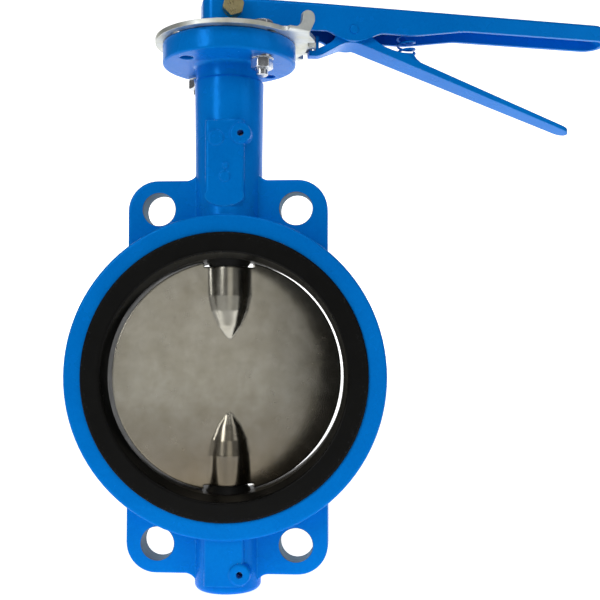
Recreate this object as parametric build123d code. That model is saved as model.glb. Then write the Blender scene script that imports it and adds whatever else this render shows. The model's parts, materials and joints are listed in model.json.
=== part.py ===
from build123d import *
import math
import os

# Wafer butterfly valve, DN150, with a hand lever that latches in a notched plate.
# Millimetres. Origin: centre of the waterway. +Y runs along the pipe, +Z up the stem.
# What turns with the stem is drawn closed, with the lever along +X and the disc across the
# pipe, and opened() then turns it OPEN_ANGLE degrees about +Z, which is the pose shown.

OPEN_ANGLE = 15.0
FULL_OPEN = 90.0
OVERLAP = 0.5  # how far a joined piece runs into its neighbour
PAST = 1.0  # how far a cutting tool runs past a face
FAR = 50.0  # reach of a tool that cuts right through the lever or trigger

# Body ring, and the recesses that hold the rubber liner
RING_R = 105.5
RING_EDGE_R = 1.6
BODY_HALF = 26.0
BODY_BORE_R = 84.0
FACE_RECESS_R = 93.7
FACE_RECESS_DEPTH = 3.0
RIB_R = 88.0
RIB_HALF = 7.5

# Lug plates and their pipe-bolt holes: four of the eight holes of a 240 mm bolt circle
PIPE_PCD = 240.0
PIPE_BOLTS = 8
LUG_HOLE_R = 11.0
LUG_SIDE = 21.0  # hole centre to the plate's side edge
LUG_END = 19.4  # hole centre to the plate's top or bottom edge
LUG_HALF_THICK = 8.5
LUG_CORNER_R = 20.0
LUG_EDGE_R = 1.4
LUG_ROOT_R = 8.0
LUG_ROOT_HALF = 19.8
LUG_ROOT_SPARE = 0.8
LUG_X = PIPE_PCD / 2 * math.sin(math.pi / PIPE_BOLTS)
LUG_Z = PIPE_PCD / 2 * math.cos(math.pi / PIPE_BOLTS)

# Neck, top flange (pattern F07) and bottom boss
NECK_R = 22.6
NECK_START = 60.0
NECK_FLARE_START = 145.0
NECK_TOP_R = 23.3
COLLAR_Z = 196.8
COLLAR_STEP = 0.9
FLANGE_R = 45.0
FLANGE_BOTTOM = 208.7
FLANGE_TOP = 223.2
FLANGE_EDGE_R = 1.6
FLANGE_ROOT_R = 3.0
FLANGE_PCD = 70.0
FLANGE_HOLE_R = 4.5
BOSS_R = 22.0
BOSS_BOTTOM = -141.0
BOSS_EDGE_R = 4.0
STEM_BORE_R = 12.0
BOSS_BORE_END = -131.0
SEAL_R = 14.0
SEAL_THICK = 4.0

# Cast details on the front of the neck and boss
TONGUE_HALF = 13.0
TONGUE_FACE = 23.2
TONGUE_EDGE_R = 2.4
TONGUE_END_RISE = 7.0
NECK_TONGUE_TOP = 167.6
NECK_TONGUE_END = 111.0
BOSS_TONGUE_TOP = -90.0
BOSS_TONGUE_END = BOSS_BOTTOM + 6.0
PAD_FACE = 24.6
PAD_R = 7.0
PAD_EDGE_R = 1.2
BUTTON_RISE = 1.0
BUTTON_EDGE_R = 0.9
BUTTONS = [(5.2, -5.6, 156.0), (3.6, 0.3, 130.5), (2.0, 0.8, 137.5)]  # radius, x, z

# Pins that hold the stems in
PIN_X = 10.6
NECK_PIN_Z = 158.7
BOSS_PIN_Z = -127.0
PIN_R = 2.1
PIN_FIT = 0.02
PIN_HALF = 14.0
PIN_EDGE = 0.4

# Rubber liner
SEAT_HALF = 28.0
SEAT_BORE_R = 77.4
SEAT_MOUTH_R = 80.8
SEAT_MOUTH_START = 19.0
SEAT_LIP_R = 1.6
SEAT_RIM_R = 1.2
LAND_R = 12.8
LAND_FOOT_R = 16.5
LAND_Z = 72.7
LAND_FOOT_Z = 77.8

# Stems, bushes and seals
STEM_R = 9.45
BUSH_R = 9.5
FREE_R = 9.8
GROOVE_R = 7.9
GROOVE_HALF = 2.5
SQUARE = 14.0
DRIVE_SQUARE = 13.0
DRIVE_TOP = 62.0
DRIVE_END = 50.0
STEM_SQUARE_START = 227.0
STEM_TOP = 259.0
STEM_EDGE = 0.8
LOWER_STEM_TOP = -52.0
LOWER_STEM_END = -130.5
UPPER_BUSH = (190.0, 214.0)
LOWER_BUSH = (90.0, 118.0)
BOSS_BUSH = (-122.0, -92.0)
O_RING_HEIGHTS = (215.3, 217.8)

# Disc: a lens-shaped plate with a hub and a bullet-shaped end at top and bottom, blended in
DISC_R = 77.0
DISC_EDGE_HALF = 3.4
DISC_MID_HALF = 5.2
HUB_Z = 72.4
HUB_POCKET_R = 17.2  # around the hub's flat ends the plate is cut down to leave room for the lands
# height, radius, blend radius and depth of the plate's face at each station of the hub
HUB_STATIONS = [(78.0, 12.3, 6.0, 3.2), (53.0, 12.3, 6.0, 4.3), (43.0, 11.0, 6.0, 4.5),
                (33.0, 8.3, 4.0, 4.7), (24.5, 5.1, 1.5, 4.85)]
SOCKET_FIT = 0.1

# Notch plate
PLATE_THICK = 3.0
PLATE_TOP = FLANGE_TOP + PLATE_THICK
PLATE_R = 50.0
PLATE_BLEND_R = 3.5
RIM_R = 58.8
RIM_START = -19.0
NOTCH_FLOOR_R = 53.4
NOTCH_WIDTH = 9.6
NOTCH_CORNER_R = 1.2
NOTCH_STEP = 15.0
SLOT_INNER = 30.0
SLOT_OUTER = 46.6
SLOT_R = 4.6
# Bent-up stop tab: where its outer face looks, how far that face is from the stem's axis,
# the stretch of its foot along the bend, and its outline along the bend and upwards
TAB_LOOKS = -57.0
TAB_FACE = 51.7
TAB_FOOT = (18.5, 33.0)
TAB_BEND_R = 2.6
TAB_OUTLINE = [(TAB_FOOT[0], FLANGE_TOP), (TAB_FOOT[0], PLATE_TOP), (27.4, PLATE_TOP),
               (28.9, 238.2), (36.9, 238.2), (37.2, 231.5), (TAB_FOOT[1], FLANGE_TOP)]
TAB_RADII = {2: 6.0, 3: 3.8, 4: 3.8, 5: 5.0}

# Lever: a pressed channel, open underneath
LEVER_BACK = -19.0
LEVER_FRONT = 277.0
LEVER_HALF = 14.0
LEVER_TOP = 253.2
LEVER_BOTTOM = 227.6
LEVER_WALL = 3.0
LEVER_CORNER_R = 9.0
LEVER_END_R = 12.0
LEVER_TOP_EDGE_R = 2.6
LEVER_SLOPE_START = 60.0  # from here the top falls gently to the rounded end
LEVER_TOP_END = 251.0
LEVER_NOSE_R = 12.0
CHANNEL_HALF = LEVER_HALF - LEVER_WALL
WEB_BOTTOM = LEVER_TOP - LEVER_WALL
UNDER_LEVER = LEVER_BOTTOM - 9.0
PAST_LEVER = LEVER_FRONT + 13.0
# What is trimmed from under the walls: along the lever, and up
LEVER_TRIM = [(52.5, UNDER_LEVER), (52.5, 233.9), (66.0, 234.3), (83.0, 225.3), (103.5, 234.7),
              (128.0, 234.5), (165.0, 240.0), (PAST_LEVER, 239.2), (PAST_LEVER, UNDER_LEVER)]
LEVER_TRIM_RADII = {1: 2.5, 2: 10.0, 3: 24.0, 4: 14.0, 5: 60.0, 6: 60.0}

# Hub block and clamp bolt
BLOCK_BACK = -14.4
BLOCK_FRONT = 19.0
BLOCK_HALF = CHANNEL_HALF - 0.05
BLOCK_BOTTOM = 228.0
COLLAR_R = 12.0
COLLAR_FIT = 0.1
COLLAR_TOP = 256.0
CLAMP_Z = 245.0
HUB_SOCKET_FIT = 0.05

# M8 fasteners
M8_R = 4.0
M8_HOLE_R = 4.2
M8_THREAD_FIT = 0.02
M8_FLATS = 13.0
M8_HEAD = 5.3
M8_NUT = 6.5
M8_TIP = 0.8
PLATE_WASHER = (7.6, 2.0)  # radius and thickness
SPRING_WASHER = (6.6, 2.0)
CLAMP_WASHER = (8.0, 1.6)
SPLIT_HALF = 0.4
PLATE_BOLT_END = FLANGE_BOTTOM - 13.2
CLAMP_BOLT_SPARE = 3.0
PLATE_NUT_TURN = 12.0
CLAMP_HEAD_TURN = 17.0

# Trigger, its pin and spring
PIVOT_S = 84.0
PIVOT_Z = 236.0
TRIGGER_PIN_R = 3.0
TRIGGER_PIN_FIT = 0.05
TRIGGER_PIN_END = 0.8
TRIGGER_PIN_EDGE = 0.7
TRIGGER_WALL = 2.4
TRIGGER_FLOOR = 2.6  # thickness of its web, measured straight up
GRIP_END = 247.0
NOSE = 54.8
NOSE_TOP = 222.6
TRIGGER_UNDERSIDE = [(NOSE, 218.9), (62.5, 219.3), (82.6, 229.6), (GRIP_END, 172.8)]
UNDERSIDE_RADII = {1: 15.0, 2: 20.0}
TRIGGER_EDGE = [(GRIP_END, 175.6), (133.0, 217.0), (128.5, 218.8), (123.5, 222.4), (113.0, 224.4),
                (105.5, 226.9), (98.0, 232.0), (92.0, 240.5), (77.0, 240.5), (70.5, 228.8),
                (66.0, 226.4), (61.4, 224.5), (59.4, NOSE_TOP), (NOSE, NOSE_TOP)]
EDGE_RADII = {1: 15.0, 3: 4.0, 4: 15.0, 5: 15.0, 6: 8.0, 7: 6.0, 8: 6.0, 9: 6.0, 10: 8.0}
# Half of its plan outline: distance along the lever, half width
TRIGGER_PLAN = [(NOSE, 4.0), (60.0, 4.0), (75.0, 10.6), (100.0, 10.6), (GRIP_END, 7.4)]
NOSE_R = 1.0
GRIP_END_R = 6.9
HOOK_PLATE = (59.4, 61.4)
HOOK_TOP = 233.0
HOOK_HALF = 4.0
SPRING_S = 125.5
SPRING_OUTER = 6.8
SPRING_WIRE = 1.4
SPRING_BOTTOM = 224.6
SPRING_TOP = 249.4
SPRING_SEAT = [(117.0, SPRING_BOTTOM - 20.0), (117.0, SPRING_BOTTOM), (128.8, SPRING_BOTTOM),
               (131.5, 220.8), (138.0, 215.6), (138.0, SPRING_BOTTOM - 20.0)]
SPRING_SEAT_HALF = 5.5


def along_y(radius, start, end, x=0.0, z=0.0):
    """A round bar along Y from start to end."""
    bar = Cylinder(radius, end - start, rotation=(90, 0, 0))
    return Pos(x, (start + end) / 2, z) * bar


def along_z(radius, start, end, x=0.0, y=0.0):
    """A round bar along Z from start to end."""
    return Pos(x, y, (start + end) / 2) * Cylinder(radius, end - start)


def tube_z(outer, inner, start, end, x=0.0, y=0.0):
    """A round tube along Z."""
    return along_z(outer, start, end, x, y) - along_z(inner, start - PAST, end + PAST, x, y)


def block(x_low, x_high, y_low, y_high, z_low, z_high):
    """A box between two corners."""
    middle = Pos((x_low + x_high) / 2, (y_low + y_high) / 2, (z_low + z_high) / 2)
    return middle * Box(x_high - x_low, y_high - y_low, z_high - z_low)


def square_bar(side, z_low, z_high):
    """A square bar around the stem's axis."""
    return block(-side / 2, side / 2, -side / 2, side / 2, z_low, z_high)


def rounded_polygon(corners, radii):
    """A polygon with some corners rounded: radii maps a corner's number to its radius."""
    face = make_face(Polyline(*corners, close=True))
    for number, radius in radii.items():
        vertex = face.vertices().sort_by_distance(corners[number])[0]
        face = fillet(vertex, radius)
    return face


def side_prism(face, half):
    """A side view's face given thickness: half to each side of the lever's middle plane."""
    return extrude(Plane.XZ * face, half, both=True)


def hexagon_z(flats, start, end, x=0.0, y=0.0, turn=0.0):
    """A hexagonal prism along Z, with its corners eased as on a nut."""
    prism = extrude(RegularPolygon(flats / 2, 6, major_radius=False, rotation=turn), end - start)
    easing = along_z(flats * 0.56, 0, end - start)
    easing = chamfer(easing.edges(), flats * 0.045)
    return Pos(x, y, start) * (prism & easing)


def opened(part):
    """Turn a part drawn in the closed pose to the pose in which the valve is shown."""
    return Rot(0, 0, OPEN_ANGLE) * part


def turned_to_y(part, y, z):
    """Lay a part drawn along Z on its side, so that its +Z end points along +Y."""
    return Pos(0, y, z) * Rot(-90, 0, 0) * part


def lug_outline():
    """Front outline of the plate that carries both pairs of lugs, with the neck and boss roots."""
    edge = LUG_Z + LUG_END
    plate = RectangleRounded(2 * (LUG_X + LUG_SIDE), 2 * edge, LUG_CORNER_R)
    root = Rectangle(2 * LUG_ROOT_HALF, 2 * (edge + LUG_ROOT_R + LUG_ROOT_SPARE))
    outline = plate + root
    inner = [v for v in outline.vertices()
             if abs(abs(v.X) - LUG_ROOT_HALF) < 0.01 and abs(abs(v.Y) - edge) < 0.01]
    return fillet(inner, LUG_ROOT_R)


def neck_and_flange():
    """Neck, its collar under the flange, and the round top flange, as one turned shape."""
    collar_r = NECK_TOP_R - COLLAR_STEP
    corners = [(0, NECK_START), (NECK_R, NECK_START), (NECK_R, NECK_FLARE_START),
               (NECK_TOP_R, COLLAR_Z), (collar_r, COLLAR_Z + COLLAR_STEP),
               (collar_r, FLANGE_BOTTOM), (FLANGE_R, FLANGE_BOTTOM), (FLANGE_R, FLANGE_TOP),
               (0, FLANGE_TOP)]
    radii = {5: FLANGE_ROOT_R, 6: FLANGE_EDGE_R, 7: FLANGE_EDGE_R}
    return revolve(Plane.XZ * rounded_polygon(corners, radii), Axis.Z)


def tongue(z_low, z_high, end_rise):
    """Flat raised strip on the front of the neck or boss, with a rounded lower end if it rises."""
    strip = block(-TONGUE_HALF, TONGUE_HALF, -TONGUE_FACE, 0, z_low + end_rise, z_high)
    long_edges = strip.edges().filter_by(Axis.Z).sort_by(Axis.Y)[:2]
    strip = fillet(long_edges, TONGUE_EDGE_R)
    if end_rise:
        end = scale(along_y(TONGUE_HALF, -TONGUE_FACE, 0), (1, 1, end_rise / TONGUE_HALF))
        strip += Pos(0, 0, z_low + end_rise) * end
    return strip


def raised_disc(radius, face, x, z, edge_r):
    """A round pad or button on the front of the casting, with an eased rim."""
    return fillet(along_y(radius, -face, 0, x, z).edges().sort_by(Axis.Y)[:1], edge_r)


def flange_hole_centres():
    """The four holes of the top flange, on the diagonals."""
    reach = FLANGE_PCD / 2 * math.sqrt(0.5)
    return [(x, y) for x in (-reach, reach) for y in (-reach, reach)]


def plate_bolt_centres():
    """Two of the four flange holes hold the notch plate: the diagonal clear of the lever."""
    return [(x, y) for x, y in flange_hole_centres() if x * y < 0]


def body_blank():
    """The casting before machining: ring, lugs, neck, flange, boss and their raised details."""
    ring = fillet(along_y(RING_R, -BODY_HALF, BODY_HALF).edges(), RING_EDGE_R)
    lugs = extrude(Plane.XZ * lug_outline(), LUG_HALF_THICK, both=True)
    faces = lugs.edges().group_by(Axis.Y)
    lugs = fillet(faces[0] + faces[-1], LUG_EDGE_R)
    boss = along_z(BOSS_R, BOSS_BOTTOM, -NECK_START)
    boss = fillet(boss.edges().sort_by(Axis.Z)[:1], BOSS_EDGE_R)
    blank = ring + lugs + neck_and_flange() + boss
    blank += tongue(NECK_TONGUE_END, NECK_TONGUE_TOP, TONGUE_END_RISE)
    blank += tongue(BOSS_TONGUE_END, BOSS_TONGUE_TOP, 0)
    for z in (NECK_PIN_Z, BOSS_PIN_Z):
        blank += raised_disc(PAD_R, PAD_FACE, PIN_X, z, PAD_EDGE_R)
    for radius, x, z in BUTTONS:
        blank += raised_disc(radius, TONGUE_FACE + BUTTON_RISE, x, z, BUTTON_EDGE_R)
    return blank


def body_casting():
    """Wafer body: one casting, bored for the liner, the stems, their pins and the bolts."""
    body = body_blank()
    body -= along_y(BODY_BORE_R, -BODY_HALF - PAST, BODY_HALF + PAST)
    body -= along_y(RIB_R, -RIB_HALF, RIB_HALF)
    recess = BODY_HALF - FACE_RECESS_DEPTH
    body -= along_y(FACE_RECESS_R, -BODY_HALF - PAST, -recess)
    body -= along_y(FACE_RECESS_R, recess, BODY_HALF + PAST)
    body -= along_z(STEM_BORE_R, NECK_START, FLANGE_TOP + PAST)
    body -= along_z(SEAL_R, FLANGE_TOP - SEAL_THICK, FLANGE_TOP + PAST)
    body -= along_z(STEM_BORE_R, BOSS_BORE_END, -NECK_START)
    for x in (-LUG_X, LUG_X):
        for z in (-LUG_Z, LUG_Z):
            body -= along_y(LUG_HOLE_R, -BODY_HALF, BODY_HALF, x, z)
    for x, y in flange_hole_centres():
        body -= along_z(FLANGE_HOLE_R, FLANGE_BOTTOM - PAST, FLANGE_TOP + PAST, x, y)
    for z in (NECK_PIN_Z, BOSS_PIN_Z):
        body -= along_y(PIN_R + PIN_FIT, -PAD_FACE - PAST, PIN_HALF, PIN_X, z)
    return body


def seat_section():
    """Section of the liner: lines the bore, folds over both faces, keys into the body."""
    inner_face = BODY_HALF - FACE_RECESS_DEPTH
    side = [(BODY_BORE_R, RIB_HALF), (BODY_BORE_R, inner_face), (FACE_RECESS_R, inner_face),
            (FACE_RECESS_R, SEAT_HALF), (SEAT_MOUTH_R, SEAT_HALF),
            (SEAT_BORE_R, SEAT_MOUTH_START)]
    other = [(r, -y) for r, y in reversed(side)]
    rib = [(RIB_R, -RIB_HALF), (RIB_R, RIB_HALF)]
    rim, lip = 3, 4
    last = len(side) + len(other) - 1
    radii = {rim: SEAT_RIM_R, lip: SEAT_LIP_R, last - rim: SEAT_RIM_R, last - lip: SEAT_LIP_R}
    return rounded_polygon(side + other + rib, radii)


def seat_liner():
    """Rubber liner, with a flat land around each stem on which the disc's hub seals."""
    liner = revolve(seat_section(), Axis.Y)
    height = LAND_FOOT_Z - LAND_Z
    land = Pos(0, 0, LAND_Z + height / 2) * Cone(LAND_R, LAND_FOOT_R, height)
    land += along_z(LAND_R, LAND_Z, BODY_BORE_R - PAST)
    hole = along_z(FREE_R, NECK_START, RIB_R + PAST)
    for turn in (0, 180):
        liner += Rot(turn, 0, 0) * land
        liner -= Rot(turn, 0, 0) * hole
    return liner


def hub_section(radius, blend, plate_half):
    """Cross-section of hub and plate: a circle with a hollow blend to the plate on each side."""
    blend_y = plate_half + blend
    blend_x = math.sqrt((radius + blend) ** 2 - blend_y ** 2)
    touch = radius / (radius + blend)
    towards_hub = math.atan2(-blend_y, -blend_x)
    halfway = (towards_hub - math.pi / 2) / 2

    def mirrored(point, x_sign, y_sign):
        return (x_sign * point[0], y_sign * point[1])

    root = (blend_x, plate_half)
    middle = (blend_x + blend * math.cos(halfway), blend_y + blend * math.sin(halfway))
    shoulder = (blend_x * touch, blend_y * touch)
    curves = []
    for y_sign in (-1, 1):
        for x_sign in (-1, 1):
            ends = [mirrored(p, x_sign, y_sign) for p in (root, middle, shoulder)]
            curves.append(ThreePointArc(*ends))
        left = mirrored(shoulder, -1, y_sign)
        right = mirrored(shoulder, 1, y_sign)
        curves.append(ThreePointArc(left, (0, y_sign * radius), right))
    for x_sign in (-1, 1):
        curves.append(Line(mirrored(root, x_sign, -1), mirrored(root, x_sign, 1)))
    return make_face(curves)


def disc_blank():
    """Disc in the closed pose: a lens-shaped plate with a blended hub top and bottom."""
    rise = DISC_MID_HALF - DISC_EDGE_HALF
    face_r = (DISC_R ** 2 + rise ** 2) / (2 * rise)
    blank = along_y(DISC_R + PAST, -DISC_MID_HALF - PAST, DISC_MID_HALF + PAST)
    for side in (-1, 1):
        blank &= Pos(0, side * (face_r - DISC_MID_HALF), 0) * Sphere(face_r)
    stations = [Pos(0, 0, z) * hub_section(r, blend, depth) for z, r, blend, depth in HUB_STATIONS]
    for upper, lower in zip(stations, stations[1:]):
        piece = loft([upper, lower], ruled=True)
        for turn in (0, 180):
            blank += Rot(turn, 0, 0) * piece
    blank &= Sphere(DISC_R)
    blank -= along_z(HUB_POCKET_R, HUB_Z, DISC_R + PAST)
    return blank - along_z(HUB_POCKET_R, -DISC_R - PAST, -HUB_Z)


def disc():
    """Disc with its stem sockets, in the pose shown."""
    solid = disc_blank()
    solid -= along_z(BUSH_R, DRIVE_TOP, HUB_Z + PAST)
    solid -= square_bar(DRIVE_SQUARE + SOCKET_FIT, DRIVE_END - OVERLAP, DRIVE_TOP + PAST)
    solid -= along_z(BUSH_R, -HUB_Z - PAST, LOWER_STEM_TOP + OVERLAP)
    return opened(solid)


def pin_groove(z):
    """Ring cut around a stem, in which its pin lies."""
    return tube_z(STEM_R + PAST, GROOVE_R, z - GROOVE_HALF, z + GROOVE_HALF)


def upper_stem():
    """Long stem: square end in the disc, pin groove in the neck, square and cross hole for the lever."""
    stem = along_z(STEM_R, DRIVE_TOP, STEM_SQUARE_START)
    stem += square_bar(DRIVE_SQUARE, DRIVE_END, DRIVE_TOP + OVERLAP)
    head = square_bar(SQUARE, STEM_SQUARE_START - OVERLAP, STEM_TOP)
    head &= along_z(STEM_R, STEM_SQUARE_START - PAST, STEM_TOP)
    stem += chamfer(head.edges().group_by(Axis.Z)[-1], STEM_EDGE)
    stem -= pin_groove(NECK_PIN_Z)
    stem -= along_y(M8_HOLE_R, -FAR, FAR, 0, CLAMP_Z)
    return opened(stem)


def lower_stem():
    """Short stem fixed in the boss, on which the disc turns."""
    stem = along_z(STEM_R, LOWER_STEM_END, LOWER_STEM_TOP)
    return chamfer(stem.edges(), STEM_EDGE) - pin_groove(BOSS_PIN_Z)


def bushing(z_low, z_high):
    """Plain bush between a stem and its bore."""
    return tube_z(STEM_BORE_R, BUSH_R, z_low, z_high)


def stem_o_rings():
    """Two O-rings above the upper bush."""
    section = (STEM_BORE_R - FREE_R) / 2
    ring = Torus(FREE_R + section, section)
    return Compound(children=[Pos(0, 0, z) * ring for z in O_RING_HEIGHTS])


def dust_seal():
    """Flat seal let into the top of the flange."""
    return tube_z(SEAL_R, FREE_R, FLANGE_TOP - SEAL_THICK, FLANGE_TOP)


def stem_pin(z):
    """Pin that crosses the bore beside the stem and keeps it from pulling out."""
    return chamfer(along_y(PIN_R, -PIN_HALF, PIN_HALF, PIN_X, z).edges(), PIN_EDGE)


def tab_foot_corner():
    """The corner of the plate where the stop tab's foot meets the notched rim."""
    looks = math.radians(TAB_LOOKS)
    along = TAB_FOOT[1]
    x = TAB_FACE * math.cos(looks) - along * math.sin(looks)
    y = TAB_FACE * math.sin(looks) + along * math.cos(looks)
    return x, y


def rim_sector():
    """The notched part of the plate, between the feet of its two stop tabs."""
    def on_rim(degrees):
        angle = math.radians(degrees)
        return (RIM_R * math.cos(angle), RIM_R * math.sin(angle))

    arc = ThreePointArc(on_rim(RIM_START), on_rim(FULL_OPEN / 2), on_rim(FULL_OPEN - RIM_START))
    x, y = tab_foot_corner()
    return make_face([Polyline(arc @ 1, (y, x), (0, 0), (x, y), arc @ 0), arc])


def tab_foot():
    """The stretch of plate that the stop tab is bent up from, drawn with the tab facing +X."""
    start, end = TAB_FOOT
    depth = TAB_FACE - start
    return Pos(TAB_FACE - depth / 2, (start + end) / 2) * Rectangle(depth, end - start)


def stop_tab():
    """Bent-up stop tab, drawn facing +X: rounded top, hollow curve down to the plate on one side."""
    outline = rounded_polygon(TAB_OUTLINE, TAB_RADII)
    return Pos(TAB_FACE - PLATE_THICK, 0, 0) * extrude(Plane.YZ * outline, PLATE_THICK)


def with_its_mirror(part):
    """A stop tab's part at the closed end of the rim, and its mirror image at the open end."""
    placed = Rot(0, 0, TAB_LOOKS) * part
    return placed + mirror(placed, about=Plane((0, 0, 0), z_dir=(1, -1, 0)))


def notch_plate():
    """Plate on the flange: notched rim, two stop tabs, four radial slots for the flange bolts."""
    outline = Circle(PLATE_R) + rim_sector() + with_its_mirror(tab_foot())
    hollows = [v for v in outline.vertices() if abs(math.hypot(v.X, v.Y) - PLATE_R) < 0.01]
    outline = fillet(hollows, PLATE_BLEND_R)
    slot = SlotCenterToCenter(SLOT_OUTER - SLOT_INNER - 2 * SLOT_R, 2 * SLOT_R)
    slot = Pos((SLOT_INNER + SLOT_OUTER) / 2, 0) * slot
    for quarter in range(4):
        outline -= Rot(0, 0, 45 + 90 * quarter) * slot
    outline -= Circle(STEM_R + PAST)
    notch = Pos(NOTCH_FLOOR_R + NOTCH_WIDTH, 0)
    notch *= RectangleRounded(2 * NOTCH_WIDTH, NOTCH_WIDTH, NOTCH_CORNER_R)
    for index in range(int(FULL_OPEN / NOTCH_STEP) + 1):
        outline -= Rot(0, 0, index * NOTCH_STEP) * notch
    plate = Pos(0, 0, FLANGE_TOP) * extrude(outline, PLATE_THICK)
    plate += with_its_mirror(stop_tab())
    straight = plate.edges().group_by(Axis.Z)[0].filter_by(GeomType.LINE)
    bends = straight.sort_by(SortBy.LENGTH)[-2:]
    return fillet(bends, TAB_BEND_R)


def m8_bolt(head_bottom, end, turn=0.0):
    """Hexagon bolt along Z with its head above head_bottom, pointing down to end."""
    head = hexagon_z(M8_FLATS, head_bottom, head_bottom + M8_HEAD, turn=turn)
    shank = along_z(M8_R, end, head_bottom + OVERLAP)
    return head + chamfer(shank.edges().sort_by(Axis.Z)[:1], M8_TIP)


def m8_nut(low, turn=0.0):
    """Hexagon nut along Z with its lower face at low."""
    nut = hexagon_z(M8_FLATS, low, low + M8_NUT, turn=turn)
    return nut - along_z(M8_R + M8_THREAD_FIT, low - PAST, low + M8_NUT + PAST)


def washer(size, low):
    """Plain washer along Z with its lower face at low: size is its radius and thickness."""
    radius, thick = size
    return tube_z(radius, M8_HOLE_R, low, low + thick)


def at_plate_bolts(part):
    """Copies of a part at the two bolts of the notch plate."""
    return Compound(children=[Pos(x, y, 0) * part for x, y in plate_bolt_centres()])


def plate_bolts():
    """Two hexagon bolts that hold the notch plate down on the flange."""
    return at_plate_bolts(m8_bolt(PLATE_TOP, PLATE_BOLT_END))


def plate_washers():
    """A washer under each nut of the notch plate bolts."""
    return at_plate_bolts(washer(PLATE_WASHER, FLANGE_BOTTOM - PLATE_WASHER[1]))


def plate_nuts():
    """Nuts of the notch plate bolts, under the flange."""
    return at_plate_bolts(m8_nut(FLANGE_BOTTOM - PLATE_WASHER[1] - M8_NUT, PLATE_NUT_TURN))


def lever_outline(wall):
    """Plan outline of the lever, drawn in by wall all round."""
    back = LEVER_BACK + wall
    front = LEVER_FRONT - wall
    half = LEVER_HALF - wall
    corners = [(back, -half), (front, -half), (front, half), (back, half)]
    back_r = LEVER_CORNER_R - wall
    end_r = LEVER_END_R - wall
    return rounded_polygon(corners, {0: back_r, 1: end_r, 2: end_r, 3: back_r})


def under_lever_top(drop):
    """Side view of all that lies more than drop under the lever's top and inside its rounded end."""
    front = LEVER_FRONT - drop
    corners = [(LEVER_BACK, LEVER_BOTTOM), (LEVER_BACK, LEVER_TOP - drop),
               (LEVER_SLOPE_START, LEVER_TOP - drop), (front, LEVER_TOP_END - drop),
               (front, LEVER_BOTTOM)]
    return side_prism(rounded_polygon(corners, {3: LEVER_NOSE_R - drop}), FAR)


def lever():
    """Pressed lever: round-ended channel, deep at the hub and shallow at the grip."""
    height = LEVER_TOP - LEVER_BOTTOM
    outer = Pos(0, 0, LEVER_BOTTOM) * extrude(lever_outline(0), height)
    outer &= under_lever_top(0)
    top_edges = [e for e in outer.edges().filter_by(GeomType.LINE)
                 if e.center().Z > LEVER_TOP_END and abs(e.center().Y) > LEVER_HALF - 0.01]
    outer = fillet(top_edges, LEVER_TOP_EDGE_R)
    pocket = Pos(0, 0, LEVER_BOTTOM) * extrude(lever_outline(LEVER_WALL), height)
    channel = outer - (pocket & under_lever_top(LEVER_WALL))
    channel -= side_prism(rounded_polygon(LEVER_TRIM, LEVER_TRIM_RADII), FAR)
    channel -= along_z(COLLAR_R + COLLAR_FIT, WEB_BOTTOM - PAST, LEVER_TOP + PAST)
    channel -= along_y(M8_HOLE_R, -FAR, FAR, 0, CLAMP_Z)
    channel -= along_y(TRIGGER_PIN_R + PIN_FIT, -FAR, FAR, PIVOT_S, PIVOT_Z)
    return opened(channel)


def lever_hub():
    """Block inside the lever with the square socket; its collar stands through the lever's top."""
    hub = block(BLOCK_BACK, BLOCK_FRONT, -BLOCK_HALF, BLOCK_HALF, BLOCK_BOTTOM, WEB_BOTTOM)
    hub = fillet(hub.edges().filter_by(Axis.Z), LEVER_CORNER_R - LEVER_WALL)
    hub += along_z(COLLAR_R, WEB_BOTTOM - OVERLAP, COLLAR_TOP)
    hub -= square_bar(SQUARE + 2 * HUB_SOCKET_FIT, BLOCK_BOTTOM - PAST, COLLAR_TOP + PAST)
    hub -= along_y(M8_HOLE_R, -FAR, FAR, 0, CLAMP_Z)
    return opened(hub)


def clamp_bolt():
    """Bolt across the lever's hub end, through the hub block and stem, its head at the front."""
    length = 2 * LEVER_HALF + SPRING_WASHER[1] + CLAMP_WASHER[1] + M8_NUT + CLAMP_BOLT_SPARE
    bolt = Rot(180, 0, 0) * m8_bolt(0, -length, CLAMP_HEAD_TURN)
    return opened(turned_to_y(bolt, -LEVER_HALF - SPRING_WASHER[1], CLAMP_Z))


def clamp_spring_washer():
    """Split spring washer under the clamp bolt's head."""
    radius, thick = SPRING_WASHER
    ring = washer(SPRING_WASHER, 0)
    ring -= block(-SPLIT_HALF, SPLIT_HALF, -radius - PAST, -M8_HOLE_R + PAST, -PAST, thick + PAST)
    return opened(turned_to_y(ring, -LEVER_HALF - thick, CLAMP_Z))


def clamp_washer():
    """Flat washer under the clamp nut."""
    return opened(turned_to_y(washer(CLAMP_WASHER, 0), LEVER_HALF, CLAMP_Z))


def clamp_nut():
    """Nut on the far side of the lever."""
    return opened(turned_to_y(m8_nut(0), LEVER_HALF + CLAMP_WASHER[1], CLAMP_Z))


def trigger_pin():
    """Rivet on which the trigger turns, its ends just proud of the lever's walls."""
    end = LEVER_HALF + TRIGGER_PIN_END
    pin = along_y(TRIGGER_PIN_R, -end, end, PIVOT_S, PIVOT_Z)
    return opened(fillet(pin.edges(), TRIGGER_PIN_EDGE))


def trigger_spring():
    """Envelope of the return spring between trigger and lever."""
    inner = SPRING_OUTER - SPRING_WIRE
    return opened(tube_z(SPRING_OUTER, inner, SPRING_BOTTOM, SPRING_TOP, SPRING_S))


def above_underside(rise):
    """Side view of all that lies more than rise above the trigger's underside."""
    line = [(s, z + rise) for s, z in TRIGGER_UNDERSIDE]
    corners = line + [(GRIP_END, LEVER_TOP), (NOSE, LEVER_TOP)]
    return rounded_polygon(corners, UNDERSIDE_RADII)


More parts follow.
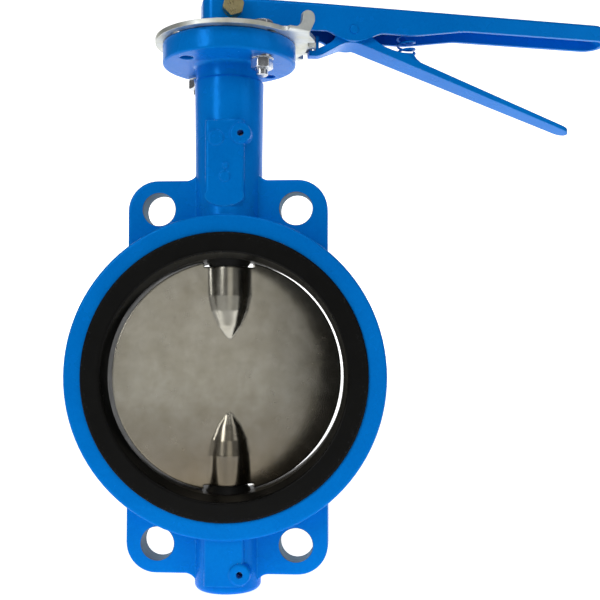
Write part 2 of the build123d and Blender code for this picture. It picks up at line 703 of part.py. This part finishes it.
def trigger_plan(wall):
    """Plan outline of the trigger, drawn in by wall all round, as a tall prism."""
    near = TRIGGER_PLAN + [(s, -half) for s, half in reversed(TRIGGER_PLAN)]
    grip = len(TRIGGER_PLAN) - 1
    radii = {0: NOSE_R, grip: GRIP_END_R, grip + 1: GRIP_END_R, len(near) - 1: NOSE_R}
    outline = rounded_polygon(near, radii)
    if wall:
        outline = offset(outline, -wall)
    return Pos(0, 0, TRIGGER_UNDERSIDE[-1][1] - FAR) * extrude(outline, LEVER_TOP)


def trigger():
    """Squeeze trigger: a tapering channel open upwards, with ears on the pin and a hook at its nose."""
    count = len(TRIGGER_UNDERSIDE)
    radii = dict(UNDERSIDE_RADII)
    radii.update({count + number: radius for number, radius in EDGE_RADII.items()})
    side = rounded_polygon(TRIGGER_UNDERSIDE + TRIGGER_EDGE, radii)
    inside = trigger_plan(TRIGGER_WALL)
    shell = side_prism(side, FAR) & trigger_plan(0)
    shell -= side_prism(above_underside(TRIGGER_FLOOR), FAR) & inside
    seat = side_prism(make_face(Polyline(*SPRING_SEAT, close=True)), SPRING_SEAT_HALF)
    shell += seat & side_prism(above_underside(TRIGGER_FLOOR - OVERLAP), FAR)
    start, end = HOOK_PLATE
    shell += block(start, end, -HOOK_HALF, HOOK_HALF, NOSE_TOP - PAST, HOOK_TOP)
    shell -= along_y(TRIGGER_PIN_R + TRIGGER_PIN_FIT, -FAR, FAR, PIVOT_S, PIVOT_Z)
    return opened(shell)


NODES = {
    "body_casting": body_casting,
    "seat_liner": seat_liner,
    "lower_stem": lower_stem,
    "neck_bushing_upper": lambda: bushing(*UPPER_BUSH),
    "neck_bushing_lower": lambda: bushing(*LOWER_BUSH),
    "boss_bushing": lambda: bushing(*BOSS_BUSH),
    "stem_o_rings": stem_o_rings,
    "dust_seal": dust_seal,
    "neck_pin": lambda: stem_pin(NECK_PIN_Z),
    "boss_pin": lambda: stem_pin(BOSS_PIN_Z),
    "notch_plate": notch_plate,
    "plate_bolts": plate_bolts,
    "plate_washers": plate_washers,
    "plate_nuts": plate_nuts,
    "disc": disc,
    "upper_stem": upper_stem,
    "lever": lever,
    "lever_hub": lever_hub,
    "clamp_bolt": clamp_bolt,
    "clamp_spring_washer": clamp_spring_washer,
    "clamp_washer": clamp_washer,
    "clamp_nut": clamp_nut,
    "trigger_pin": trigger_pin,
    "trigger_spring": trigger_spring,
    "trigger": trigger,
}

os.makedirs("parts", exist_ok=True)
for name, make in NODES.items():
    export_step(make(), os.path.join("parts", name + ".step"))
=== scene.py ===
import json
import math
import bpy
import bmesh
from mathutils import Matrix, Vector


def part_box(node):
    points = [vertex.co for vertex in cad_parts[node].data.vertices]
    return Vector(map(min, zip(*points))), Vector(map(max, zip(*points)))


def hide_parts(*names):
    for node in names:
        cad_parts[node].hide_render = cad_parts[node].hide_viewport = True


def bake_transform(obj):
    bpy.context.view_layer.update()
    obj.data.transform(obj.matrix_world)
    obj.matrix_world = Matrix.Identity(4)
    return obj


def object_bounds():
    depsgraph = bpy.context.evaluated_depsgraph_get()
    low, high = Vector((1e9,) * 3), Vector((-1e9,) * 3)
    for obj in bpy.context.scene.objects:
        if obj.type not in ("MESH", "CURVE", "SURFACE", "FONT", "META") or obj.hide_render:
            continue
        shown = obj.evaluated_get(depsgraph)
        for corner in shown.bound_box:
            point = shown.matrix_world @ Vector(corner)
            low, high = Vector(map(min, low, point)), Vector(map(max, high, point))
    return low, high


# Butterfly valve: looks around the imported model. Metres, +Z up the stem, +Y along the pipe.

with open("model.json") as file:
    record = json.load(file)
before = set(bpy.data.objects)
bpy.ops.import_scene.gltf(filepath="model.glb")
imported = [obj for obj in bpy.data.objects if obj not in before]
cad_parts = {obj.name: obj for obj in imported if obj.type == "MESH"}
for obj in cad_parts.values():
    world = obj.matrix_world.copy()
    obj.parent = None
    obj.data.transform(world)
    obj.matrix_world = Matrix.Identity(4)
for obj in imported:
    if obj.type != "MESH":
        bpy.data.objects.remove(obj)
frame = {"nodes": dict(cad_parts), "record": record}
cad_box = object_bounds()
nodes = frame["nodes"]
scene = bpy.context.scene

MM = 0.001


# ---------------------------------------------------------------- node helpers

def srgb(red, green, blue):
    """An 8-bit screen colour as the linear colour that shaders take."""
    def linear(value):
        value /= 255
        return value / 12.92 if value <= 0.04045 else ((value + 0.055) / 1.055) ** 2.4
    return (linear(red), linear(green), linear(blue), 1.0)


BEVEL_SAMPLES = 6
EDGE_MASK_STARTS = 0.99  # cosine of the angle between the eased and the true surface
EDGE_MASK_FULL = 0.80


class Graph:
    """A material's node tree with short calls for the nodes used here."""

    def __init__(self, name):
        self.material = bpy.data.materials.new(name)
        self.material.use_nodes = True
        self.tree = self.material.node_tree
        self.tree.nodes.clear()
        self.out = self.tree.nodes.new("ShaderNodeOutputMaterial")
        self.shader = self.tree.nodes.new("ShaderNodeBsdfPrincipled")
        self.link(self.shader.outputs["BSDF"], self.out.inputs["Surface"])
        self.place = self.tree.nodes.new("ShaderNodeTexCoord").outputs["Object"]

    def link(self, source, target):
        self.tree.links.new(source, target)

    def fill(self, socket, value):
        """Give a socket a number or colour, or join it to another socket."""
        if isinstance(value, bpy.types.NodeSocket):
            self.link(value, socket)
        else:
            socket.default_value = value

    def put(self, node, **values):
        """Fill a node's sockets by name, with _ for a space."""
        for name, value in values.items():
            self.fill(node.inputs[name.replace("_", " ")], value)

    def set(self, **values):
        """Fill the shader's sockets by name, with _ for a space."""
        self.put(self.shader, **values)

    def now(self, name):
        """What is joined to one of the shader's sockets."""
        return self.shader.inputs[name].links[0].from_socket

    def noise(self, size, detail=3.0, roughness=0.5, stretch=(1, 1, 1)):
        """Cloudy pattern with features of about that size."""
        mapping = self.tree.nodes.new("ShaderNodeMapping")
        self.put(mapping, Vector=self.place, Scale=stretch)
        node = self.tree.nodes.new("ShaderNodeTexNoise")
        self.put(node, Vector=mapping.outputs["Vector"], Scale=1 / size)
        self.put(node, Detail=detail, Roughness=roughness)
        return node.outputs["Fac"]

    def cells(self, size):
        """Distance to the nearest of many scattered points, spaced about that size."""
        node = self.tree.nodes.new("ShaderNodeTexVoronoi")
        self.put(node, Vector=self.place, Scale=1 / size)
        return node.outputs["Distance"]

    def math(self, operation, first, second=0.0):
        node = self.tree.nodes.new("ShaderNodeMath")
        node.operation = operation
        self.fill(node.inputs[0], first)
        self.fill(node.inputs[1], second)
        return node.outputs[0]

    def times(self, *factors):
        """Product of numbers and sockets, the first a socket."""
        product = factors[0]
        for factor in factors[1:]:
            product = self.math("MULTIPLY", product, factor)
        return product

    def spread(self, value, low, high, to_low=0.0, to_high=1.0):
        """Map low..high to to_low..to_high, clamped."""
        node = self.tree.nodes.new("ShaderNodeMapRange")
        node.clamp = True
        self.put(node, Value=value, From_Min=low, From_Max=high, To_Min=to_low, To_Max=to_high)
        return node.outputs["Result"]

    def mix(self, share, first, second):
        """Blend two colours."""
        node = self.tree.nodes.new("ShaderNodeMix")
        node.data_type = "RGBA"
        sockets = {s.identifier: s for s in node.inputs}
        self.fill(sockets["Factor_Float"], share)
        self.fill(sockets["A_Color"], first)
        self.fill(sockets["B_Color"], second)
        return next(s for s in node.outputs if s.identifier == "Result_Color")

    def axes(self):
        """The X, Y and Z of the point being shaded, in the row frame at rest."""
        node = self.tree.nodes.new("ShaderNodeSeparateXYZ")
        self.link(self.place, node.inputs[0])
        return node.outputs[0], node.outputs[1], node.outputs[2]

    def length(self, first, second):
        """Length of the side opposite the right angle."""
        squares = self.math("ADD", self.math("POWER", first, 2), self.math("POWER", second, 2))
        return self.math("SQRT", squares)

    def rounded(self, radius):
        """Surface direction with edges eased by that radius."""
        node = self.tree.nodes.new("ShaderNodeBevel")
        node.samples = BEVEL_SAMPLES
        node.inputs["Radius"].default_value = radius
        return node.outputs["Normal"]

    def bump(self, height, depth, strength, over):
        """Surface relief of that depth, over another surface direction."""
        node = self.tree.nodes.new("ShaderNodeBump")
        self.put(node, Strength=strength, Distance=depth, Height=height, Normal=over)
        return node.outputs["Normal"]

    def edge_wear_and_highlight(self, radius):
        """1 along outer edges, for wear and for the painted edge highlight, 0 elsewhere: how far the
        eased surface leaves the true one.
        """
        geometry = self.tree.nodes.new("ShaderNodeNewGeometry")
        dot = self.tree.nodes.new("ShaderNodeVectorMath")
        dot.operation = "DOT_PRODUCT"
        self.link(self.rounded(radius), dot.inputs[0])
        self.link(geometry.outputs["Normal"], dot.inputs[1])
        return self.spread(dot.outputs["Value"], EDGE_MASK_STARTS, EDGE_MASK_FULL)


# ------------------------------------------------------------------- materials

BLUE = srgb(0, 124, 218)
BLUE_DEEP = srgb(0, 114, 207)
BLUE_LIGHT = srgb(4, 134, 228)
BLUE_SHINE = srgb(120, 200, 255)
# lighter blue for thin paint and a painted highlight along edges
BLUE_THIN_PAINT_AND_HIGHLIGHT = srgb(40, 160, 245)
CHIP = srgb(205, 190, 190)
BARE_IRON = srgb(96, 84, 76)
BARE_IRON_LIGHT = srgb(150, 142, 132)
RUBBER = srgb(11, 11, 10)
RUBBER_DUST = srgb(22, 22, 20)
RUBBER_SCRATCH = srgb(70, 74, 74)
# brown used for random stain patches and for the painted dark reflection low on the disc
DISC_STAIN_AND_REFLECTION = srgb(128, 111, 84)
DISC_SPECK = srgb(96, 88, 74)
ZINC_BLOOM = srgb(196, 188, 140)

PIPE_BOLT_CIRCLE_R = 120 * MM
PIPE_BOLT_ANGLE = math.radians(22.5)  # of the lug holes from the vertical
LUG_X = PIPE_BOLT_CIRCLE_R * math.sin(PIPE_BOLT_ANGLE)
LUG_Z = PIPE_BOLT_CIRCLE_R * math.cos(PIPE_BOLT_ANGLE)
LUG_HOLE_R = 11 * MM

ENAMEL_METALLIC = 0.12
ENAMEL_SPECULAR = 0.12
SAND_SHARE = 0.30  # how far sandy grain shifts the blue
THIN_PAINT_AND_HIGHLIGHT_SHARE = 0.55  # how far thin paint and a painted edge highlight shift the blue lighter
BARE_METALLIC = 0.45
BARE_ROUGHNESS = 0.5


def enamel(name, grain, grain_depth, edge, wear):
    """Blue enamel: slow colour drift, sandy grain, relief of the metal below, edges lighter for thin
    paint and a painted highlight.
    """
    g = Graph(name)
    drift = g.spread(g.noise(55 * MM, 4), 0.30, 0.70)
    colour = g.mix(drift, BLUE_DEEP, BLUE)
    sandy = g.spread(g.noise(1.6 * MM, 3, 0.6), 0.35, 0.70)
    colour = g.mix(g.times(sandy, SAND_SHARE), colour, BLUE_LIGHT)
    rim = g.edge_wear_and_highlight(edge)
    thin_paint_and_highlight = g.spread(g.noise(6 * MM, 4, 0.7), 0.35, 0.60)
    # painted highlight: lighter blue along all edges, partly thin paint, partly light caught by the
    # edges
    colour = g.mix(g.times(rim, thin_paint_and_highlight, THIN_PAINT_AND_HIGHLIGHT_SHARE), colour, BLUE_THIN_PAINT_AND_HIGHLIGHT)
    chips = g.spread(g.noise(3 * MM, 4, 0.7), 0.66, 0.69)
    colour = g.mix(g.times(rim, chips, wear), colour, CHIP)
    normal = g.rounded(edge)
    normal = g.bump(g.noise(grain, 4, 0.55), grain_depth, 0.7, normal)
    normal = g.bump(g.noise(1.4 * MM, 2), 0.05 * MM, 0.5, normal)
    rough = g.spread(g.noise(20 * MM, 4), 0.3, 0.7, 0.20, 0.30)
    g.set(Base_Color=colour, Roughness=rough, Normal=normal, Metallic=ENAMEL_METALLIC)
    g.set(Specular_IOR_Level=ENAMEL_SPECULAR, Specular_Tint=BLUE_SHINE)
    return g


def body_enamel():
    """Enamel over cast iron, left off the machined walls of the pipe bolt holes."""
    g = enamel("body_enamel", grain=7 * MM, grain_depth=0.35 * MM, edge=1.6 * MM, wear=0.8)
    x, _, z = g.axes()
    across = g.math("SUBTRACT", g.math("ABSOLUTE", x), LUG_X)
    up = g.math("SUBTRACT", g.math("ABSOLUTE", z), LUG_Z)
    bare = g.spread(g.length(across, up), LUG_HOLE_R + 0.35 * MM, LUG_HOLE_R + 0.1 * MM)
    rings = g.noise(1.6 * MM, 2, stretch=(0.1, 1, 0.1))
    iron = g.mix(rings, BARE_IRON, BARE_IRON_LIGHT)
    g.set(Base_Color=g.mix(bare, g.now("Base Color"), iron))
    g.set(Metallic=g.math("ADD", ENAMEL_METALLIC, g.times(bare, BARE_METALLIC)))
    g.set(Roughness=g.math("MAXIMUM", g.now("Roughness"), g.times(bare, BARE_ROUGHNESS)))
    return g.material


def lever_enamel():
    """Enamel over smooth pressed steel."""
    return enamel("lever_enamel", grain=12 * MM, grain_depth=0.14 * MM, edge=1.2 * MM,
                  wear=1.0).material


def spring_enamel():
    """Enamel over thin wire."""
    return enamel("spring_enamel", grain=3 * MM, grain_depth=0.03 * MM, edge=0.3 * MM,
                  wear=0.2).material


RUBBER_SPECULAR = 0.10
DUST_SHARE = 0.3


def rubber(name, shade):
    """Moulded black rubber: faint bloom and dust, dull."""
    g = Graph(name)
    dust = g.spread(g.noise(18 * MM, 5, 0.65), 0.45, 0.8)
    base = tuple(c * shade for c in RUBBER[:3]) + (1.0,)
    colour = g.mix(g.times(dust, DUST_SHARE), base, RUBBER_DUST)
    normal = g.bump(g.noise(1.2 * MM, 3), 0.03 * MM, 0.6, g.rounded(0.7 * MM))
    rough = g.spread(g.noise(12 * MM, 4), 0.3, 0.7, 0.40, 0.52)
    g.set(Base_Color=colour, Roughness=rough, Normal=normal)
    g.set(Specular_IOR_Level=RUBBER_SPECULAR)
    return g


SEAT_BORE_R = 77.4 * MM
SEAT_MOUTH_R = 80.8 * MM
SEAT_RIM_FROM = 89 * MM
SEAT_RIM_TO = 92 * MM
MOUTH_SMOOTHER = 0.18  # how much less rough the mouth is


def seat_rubber():
    """Liner rubber: its mouth worn smooth by flanges and the disc, faint scratches by its rim."""
    g = rubber("seat_rubber", 1.0)
    x, _, z = g.axes()
    reach = g.length(x, z)
    mouth = g.times(g.spread(reach, SEAT_BORE_R + 0.3 * MM, SEAT_MOUTH_R - 0.6 * MM),
                    g.spread(reach, SEAT_MOUTH_R + 1.8 * MM, SEAT_MOUTH_R + 0.6 * MM))
    g.set(Roughness=g.math("SUBTRACT", g.now("Roughness"), g.times(mouth, MOUTH_SMOOTHER)))
    scratch = g.spread(g.cells(14 * MM), 0.035, 0.0)
    marks = g.spread(g.noise(1.1 * MM, 2), 0.62, 0.72)
    rim = g.spread(reach, SEAT_RIM_FROM, SEAT_RIM_TO)
    worn = g.math("MAXIMUM", g.times(marks, rim, 0.35), g.times(scratch, 0.4))
    g.set(Base_Color=g.mix(worn, g.now("Base Color"), RUBBER_SCRATCH))
    return g.material


def plain_metal(name, dark, light, rough, grain, depth=0.01 * MM, stretch=(1, 1, 1), edge=0.5 * MM):
    """Bare or plated metal: two tones, uneven polish, fine relief."""
    g = Graph(name)
    tone = g.spread(g.noise(12 * MM, 5, 0.6), 0.3, 0.7)
    normal = g.bump(g.noise(grain, 4, 0.6, stretch), depth, 0.7, g.rounded(edge))
    polish = g.spread(g.noise(9 * MM, 4, 0.6, stretch), 0.3, 0.7, *rough)
    g.set(Base_Color=g.mix(tone, dark, light), Roughness=polish, Normal=normal, Metallic=1.0)
    return g


PAINTED_REFLECTION_TOP = -10 * MM  # the disc's painted dark reflection is absent above this height and strongest at the lower one
PAINTED_REFLECTION_FULL = -70 * MM
PAINTED_REFLECTION_SHARE = 0.70
PATCH_SHARE = 0.14
SPECK_SHARE = 0.35


def disc_metal():
    """Plated disc casting, part polished: warm grey, faintly cloudy, random brown stain patches,
    darker brown low down as painted reflection of dark surroundings, a few pits.
    """
    g = plain_metal("disc_metal", srgb(172, 168, 154), srgb(192, 189, 178), rough=(0.20, 0.28),
                    grain=1 * MM, depth=0.014 * MM, edge=1.8 * MM)
    specks = g.spread(g.noise(2.2 * MM, 3, 0.7), 0.70, 0.76)
    patches = g.spread(g.noise(35 * MM, 4, 0.6), 0.50, 0.75)
    # painted reflection: darker brown towards the bottom of the disc, where it mirrors dark
    # surroundings
    low = g.spread(g.axes()[2], PAINTED_REFLECTION_TOP, PAINTED_REFLECTION_FULL)
    stain_and_reflection = g.math("ADD", g.times(patches, PATCH_SHARE), g.times(low, PAINTED_REFLECTION_SHARE))
    colour = g.mix(stain_and_reflection, g.now("Base Color"), DISC_STAIN_AND_REFLECTION)
    g.set(Base_Color=g.mix(g.times(specks, SPECK_SHARE), colour, DISC_SPECK))
    swell = g.bump(g.noise(30 * MM, 3), 0.4 * MM, 0.30, g.now("Normal"))
    g.set(Normal=g.bump(g.times(specks, -1.0), 0.06 * MM, 0.5, swell))
    return g.material


BLOOM_SHARE = 0.55


def zinc_plate():
    """Bright zinc on pressed sheet, with a faint yellow-green bloom."""
    g = plain_metal("zinc_plate", srgb(200, 204, 202), srgb(226, 230, 228), rough=(0.42, 0.55),
                    grain=0.9 * MM, depth=0.012 * MM)
    bloom = g.spread(g.noise(20 * MM, 4, 0.6), 0.48, 0.72)
    g.set(Base_Color=g.mix(g.times(bloom, BLOOM_SHARE), g.now("Base Color"), ZINC_BLOOM))
    return g.material


def make_materials():
    return {
        "body_enamel": body_enamel(),
        "lever_enamel": lever_enamel(),
        "spring_enamel": spring_enamel(),
        "seat_rubber": seat_rubber(),
        "seal_rubber": rubber("seal_rubber", 1.3).material,
        "disc_metal": disc_metal(),
        "stem_steel": plain_metal("stem_steel", srgb(150, 150, 150), srgb(190, 190, 190),
                                  (0.18, 0.30), 0.6 * MM, stretch=(1, 1, 8)).material,
        "zinc_plate": zinc_plate(),
        "zinc_fastener": plain_metal("zinc_fastener", srgb(190, 194, 200), srgb(226, 230, 234),
                                     (0.16, 0.30), 0.8 * MM).material,
        "yellow_zinc": plain_metal("yellow_zinc", srgb(150, 138, 96), srgb(196, 184, 140),
                                   (0.24, 0.38), 0.8 * MM, 0.02 * MM).material,
        "bush_bronze": plain_metal("bush_bronze", srgb(170, 120, 62), srgb(206, 158, 96),
                                   (0.25, 0.40), 0.8 * MM).material,
    }


def dress_nodes(materials):
    """Give each CAD node the material of its slot in the record."""
    for part in frame["record"]["subparts"]:
        piece = nodes[part["node"]]
        piece.data.materials.clear()
        piece.data.materials.append(materials[part["material_slot"]])


# ---------------------------------------------------------------- return spring

SPRING_TURNS = 5.4
FLAT_TURNS = 0.5  # at each end
SPRING_STEPS = 150
SPRING_START = math.radians(-30)  # where the lower end of the wire points, seen from above
WIRE_R = 0.85 * MM
WIRE_SIDES = 12
WELD = 0.001 * MM


def wire_ring(bm, centre, outward):
    """One round section of the wire."""
    ring = []
    for side in range(WIRE_SIDES):
        turn = 2 * math.pi * side / WIRE_SIDES
        spoke = outward * math.cos(turn) + Vector((0, 0, 1)) * math.sin(turn)
        ring.append(bm.verts.new(centre + WIRE_R * spoke))
    return ring


def spring_wire(bm, low, high):
    """Closed helical wire that fills the spring's CAD envelope, its end turns lying flat."""
    radius = (high.x - low.x) / 2 - WIRE_R
    middle = (low + high) / 2
    rise = high.z - low.z - 2 * WIRE_R
    rings = []
    for step in range(SPRING_STEPS + 1):
        turns = SPRING_TURNS * step / SPRING_STEPS
        climb = (turns - FLAT_TURNS) / (SPRING_TURNS - 2 * FLAT_TURNS)
        climb = min(max(climb, 0), 1)
        angle = SPRING_START + 2 * math.pi * turns
        outward = Vector((math.cos(angle), math.sin(angle), 0))
        foot = Vector((middle.x, middle.y, low.z + WIRE_R + rise * climb))
        rings.append(wire_ring(bm, foot + radius * outward, outward))
    for near, far in zip(rings, rings[1:]):
        for side in range(WIRE_SIDES):
            following = (side + 1) % WIRE_SIDES
            bm.faces.new((near[side], near[following], far[following], far[side]))
    bm.faces.new(rings[0][::-1])
    bm.faces.new(rings[-1])


def make_spring(material):
    """Coiled wire in place of the spring's plain CAD tube."""
    low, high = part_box("trigger_spring")
    bm = bmesh.new()
    spring_wire(bm, low, high)
    bmesh.ops.remove_doubles(bm, verts=bm.verts, dist=WELD)
    bmesh.ops.recalc_face_normals(bm, faces=bm.faces)
    mesh = bpy.data.meshes.new("trigger_spring_coil")
    bm.to_mesh(mesh)
    bm.free()
    for face in mesh.polygons:
        face.use_smooth = True
    mesh.materials.append(material)
    spring = bpy.data.objects.new("trigger_spring_coil", mesh)
    scene.collection.objects.link(spring)
    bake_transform(spring)
    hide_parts("trigger_spring")


# ----------------------------------------------------------------------- stage

STAGE_HALF = 5.0
FLOOR_NEAR_Y = -5.0
GLOW_FROM_Y = -0.27
SCREEN_Y = 4.4
SCREEN_TOP = 5.0
WHITE = 0.92
UNLIT_WHITE = 0.80
GLOW = 0.9
ROOM_LIGHT = 0.12
WARM = (1.0, 0.97, 0.9)
NEUTRAL = (1.0, 1.0, 1.0)

# Name, place, point aimed at, width and height, watts, colour.
LIGHTS = (
    ("key", (-0.70, -1.0, 0.60), (0, 0, 0.10), (0.35, 0.80), 4.4, NEUTRAL),
    ("disc_light", (0.23, -0.78, 0.07), (0.05, 0.0, 0.03), (0.42, 0.36), 0.25, WARM),
    ("right_light", (0.90, -0.45, 0.55), (0, 0, 0.15), (0.5, 0.5), 0.6, NEUTRAL),
    ("top_light", (0.16, -0.65, 0.80), (0.10, 0, 0.23), (0.6, 0.3), 2.0, NEUTRAL),
)

CAMERA_PLACE = (0.0876, -0.6388, 0.0257)
CAMERA_LOOKS_UP = math.radians(2.203)
CAMERA_LOOKS_LEFT = math.radians(3.54)
CAMERA_LENS = 57.3
CAMERA_SENSOR = 36


def stage_sheet(name, corners, shade, glow):
    """A plain sheet of that grey, which may glow, given by its four corners."""
    mesh = bpy.data.meshes.new(name)
    mesh.from_pydata(corners, [], [(0, 1, 2, 3)])
    sheet = bpy.data.objects.new(name, mesh)
    scene.collection.objects.link(sheet)
    g = Graph(name + "_plain")
    g.set(Base_Color=(shade, shade, shade, 1), Roughness=0.9, Specular_IOR_Level=0.0)
    g.set(Emission_Color=(1, 1, 1, 1), Emission_Strength=glow)
    mesh.materials.append(g.material)


def floor_corners(near, far):
    """A level strip under the boss, as wide as the stage."""
    z = cad_box[0][2]
    return [(-STAGE_HALF, near, z), (STAGE_HALF, near, z),
            (STAGE_HALF, far, z), (-STAGE_HALF, far, z)]


def make_stage():
    """Pale floor that glows from a little in front of the valve to a white screen far behind."""
    z = cad_box[0][2]
    stage_sheet("floor", floor_corners(GLOW_FROM_Y, SCREEN_Y), WHITE, GLOW)
    stage_sheet("near_floor", floor_corners(FLOOR_NEAR_Y, GLOW_FROM_Y), UNLIT_WHITE, 0.0)
    stage_sheet("screen", [(-STAGE_HALF, SCREEN_Y, z), (STAGE_HALF, SCREEN_Y, z),
                           (STAGE_HALF, SCREEN_Y, SCREEN_TOP), (-STAGE_HALF, SCREEN_Y, SCREEN_TOP)],
                WHITE, GLOW)


def area_light(name, place, target, size, watts, colour):
    """A soft rectangular light aimed at a point."""
    data = bpy.data.lights.new(name, "AREA")
    data.shape = "RECTANGLE"
    data.size, data.size_y = size
    data.energy = watts
    data.color = colour
    lamp = bpy.data.objects.new(name, data)
    lamp.location = place
    aim = Vector(target) - Vector(place)
    lamp.rotation_euler = aim.to_track_quat("-Z", "Y").to_euler()
    scene.collection.objects.link(lamp)


def make_lights():
    """A dim room, soft lights at the left, right and top, and a warm one that the disc mirrors."""
    world = bpy.data.worlds.new("studio")
    scene.world = world
    world.use_nodes = True
    background = world.node_tree.nodes["Background"]
    background.inputs["Color"].default_value = (1, 1, 1, 1)
    background.inputs["Strength"].default_value = ROOM_LIGHT
    for light in LIGHTS:
        area_light(*light)


def make_camera():
    """At the front, a little right of the stem, level with the middle of the disc."""
    data = bpy.data.cameras.new("camera")
    data.sensor_width = CAMERA_SENSOR
    data.lens = CAMERA_LENS
    camera = bpy.data.objects.new("camera", data)
    camera.location = CAMERA_PLACE
    camera.rotation_euler = (math.radians(90) + CAMERA_LOOKS_UP, 0, CAMERA_LOOKS_LEFT)
    scene.collection.objects.link(camera)
    scene.camera = camera


# ------------------------------------------------------------------------ make

make_camera()
make_stage()
make_lights()
materials = make_materials()
dress_nodes(materials)
make_spring(materials["spring_enamel"])
scene.view_settings.view_transform = "Standard"
